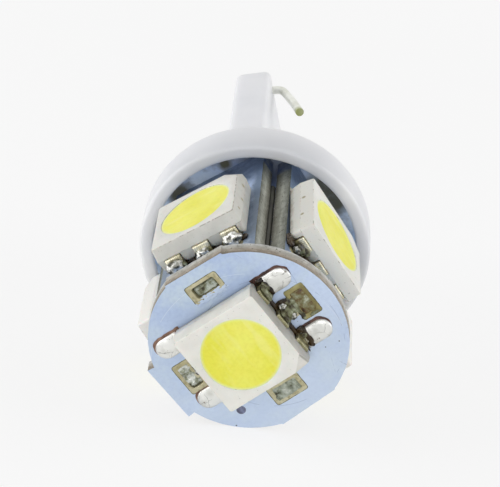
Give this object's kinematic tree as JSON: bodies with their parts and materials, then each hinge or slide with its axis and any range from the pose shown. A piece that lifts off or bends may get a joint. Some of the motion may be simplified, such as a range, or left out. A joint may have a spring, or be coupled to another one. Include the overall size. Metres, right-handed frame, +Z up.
{
  "type": "wedge base led bulb",
  "caption": "Small wedge base lamp: a square tower of circuit boards with surface-mount light packages on its sides and head, set in a round plastic cup with a flat plug-in blade.",
  "frame": {"origin": "centre of the bounding box at the floor it lies on", "axes": "+Z up from the floor; the bulb's axis runs along Y with its head towards -Y, about 5 degrees head down, and its blade towards +Y"},
  "size_m": [0.0126, 0.026, 0.0128],
  "materials": {
    "milky_nylon": "milky satin moulding",
    "masked_laminate": "pale blue solder mask over glass laminate",
    "resistor_ceramic": "black overglaze",
    "tinned_wire": "dull tinned",
    "tin_solder": "bright reflowed",
    "package_resin": "white satin moulding",
    "phosphor_silicone": "yellow phosphor-loaded silicone, satin",
    "flashed_lead": "pale gold flash"
  },
  "bodies": {
    "root": {"chip_resistor_left": "resistor_ceramic", "chip_resistor_low_left": "resistor_ceramic", "chip_resistor_low_right": "resistor_ceramic", "chip_resistor_right": "resistor_ceramic", "contact_wire_a": "tinned_wire", "contact_wire_b": "tinned_wire", "head_board": "masked_laminate", "head_joint_1": "tin_solder", "head_joint_2": "tin_solder", "head_joint_3": "tin_solder", "head_joint_4": "tin_solder", "holder": "milky_nylon", "led_body_head": "package_resin", "led_body_left": "package_resin", "led_body_low_left": "package_resin", "led_body_low_right": "package_resin", "led_body_right": "package_resin", "led_fill_head": "phosphor_silicone", "led_fill_left": "phosphor_silicone", "led_fill_low_left": "phosphor_silicone", "led_fill_low_right": "phosphor_silicone", "led_fill_right": "phosphor_silicone", "led_lead_head_1": "flashed_lead", "led_lead_head_2": "flashed_lead", "led_lead_head_3": "flashed_lead", "led_lead_head_4": "flashed_lead", "led_lead_head_5": "flashed_lead", "led_lead_head_6": "flashed_lead", "led_lead_left_1": "flashed_lead", "led_lead_left_2": "flashed_lead", "led_lead_left_3": "flashed_lead", "led_lead_left_4": "flashed_lead", "led_lead_left_5": "flashed_lead", "led_lead_left_6": "flashed_lead", "led_lead_low_left_1": "flashed_lead", "led_lead_low_left_2": "flashed_lead", "led_lead_low_left_3": "flashed_lead", "led_lead_low_left_4": "flashed_lead", "led_lead_low_left_5": "flashed_lead", "led_lead_low_left_6": "flashed_lead", "led_lead_low_right_1": "flashed_lead", "led_lead_low_right_2": "flashed_lead", "led_lead_low_right_3": "flashed_lead", "led_lead_low_right_4": "flashed_lead", "led_lead_low_right_5": "flashed_lead", "led_lead_low_right_6": "flashed_lead", "led_lead_right_1": "flashed_lead", "led_lead_right_2": "flashed_lead", "led_lead_right_3": "flashed_lead", "led_lead_right_4": "flashed_lead", "led_lead_right_5": "flashed_lead", "led_lead_right_6": "flashed_lead", "side_board_left": "masked_laminate", "side_board_low_left": "masked_laminate", "side_board_low_right": "masked_laminate", "side_board_right": "masked_laminate"}
  },
  "joints": []
}
